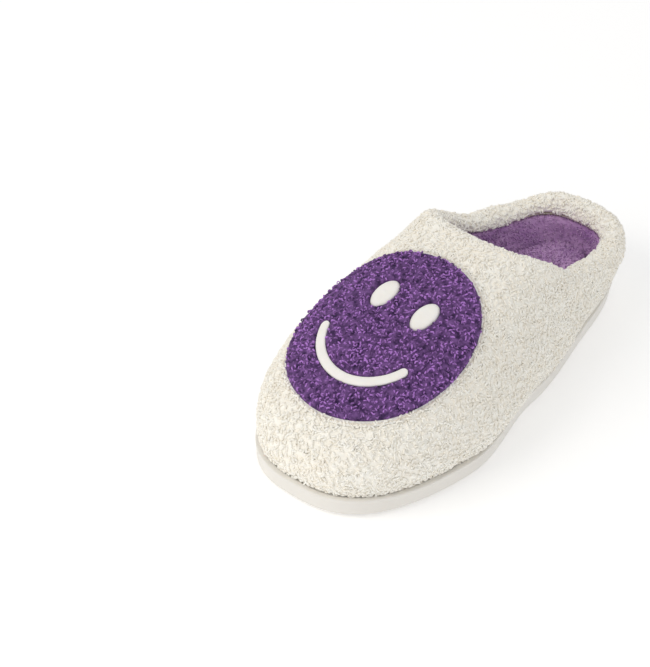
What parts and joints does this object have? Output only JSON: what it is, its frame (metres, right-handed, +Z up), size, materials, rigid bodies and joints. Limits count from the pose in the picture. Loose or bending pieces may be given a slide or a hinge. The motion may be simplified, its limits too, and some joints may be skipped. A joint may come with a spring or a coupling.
{
  "type": "fluffy house slipper",
  "caption": "Closed-toe fleece house slipper for the left foot, with a low padded heel collar, plush lining, moulded sole and a round happy-face pile patch",
  "frame": {"origin": "centre of the bounding box on the ground under the sole", "axes": "+Z up, -Y towards the toe, +X towards the outer side of a left foot"},
  "size_m": [0.1146, 0.2614, 0.0802],
  "materials": {
    "outsole_rubber": "pale warm white moulded rubber, smooth satin",
    "sock_board": "plain bonded fabric board",
    "seam_thread": "twisted polyester thread",
    "soft_foam": "open cell foam",
    "purple_plush": "short brushed plush pile, matte",
    "cream_fleece": "curly looped fleece, matte",
    "white_felt": "dense white felt, matte",
    "mauve_chenille": "looped chenille pile, matte"
  },
  "bodies": {
    "root": {"outsole": "outsole_rubber", "strobel_sock": "sock_board", "strobel_thread": "seam_thread", "footbed_foam": "soft_foam", "footbed_cover": "purple_plush", "vamp_outer": "cream_fleece", "vamp_foam": "soft_foam", "vamp_lining": "purple_plush", "heel_outer": "cream_fleece", "heel_foam": "soft_foam", "heel_counter": "sock_board", "heel_lining": "purple_plush", "side_seam_thread_outer": "seam_thread", "side_seam_thread_inner": "seam_thread", "topline_thread": "seam_thread", "motif_backing": "white_felt", "motif_pile": "mauve_chenille", "motif_eye_left": "white_felt", "motif_eye_right": "white_felt", "motif_mouth": "white_felt", "motif_edge_thread": "seam_thread"}
  },
  "joints": []
}
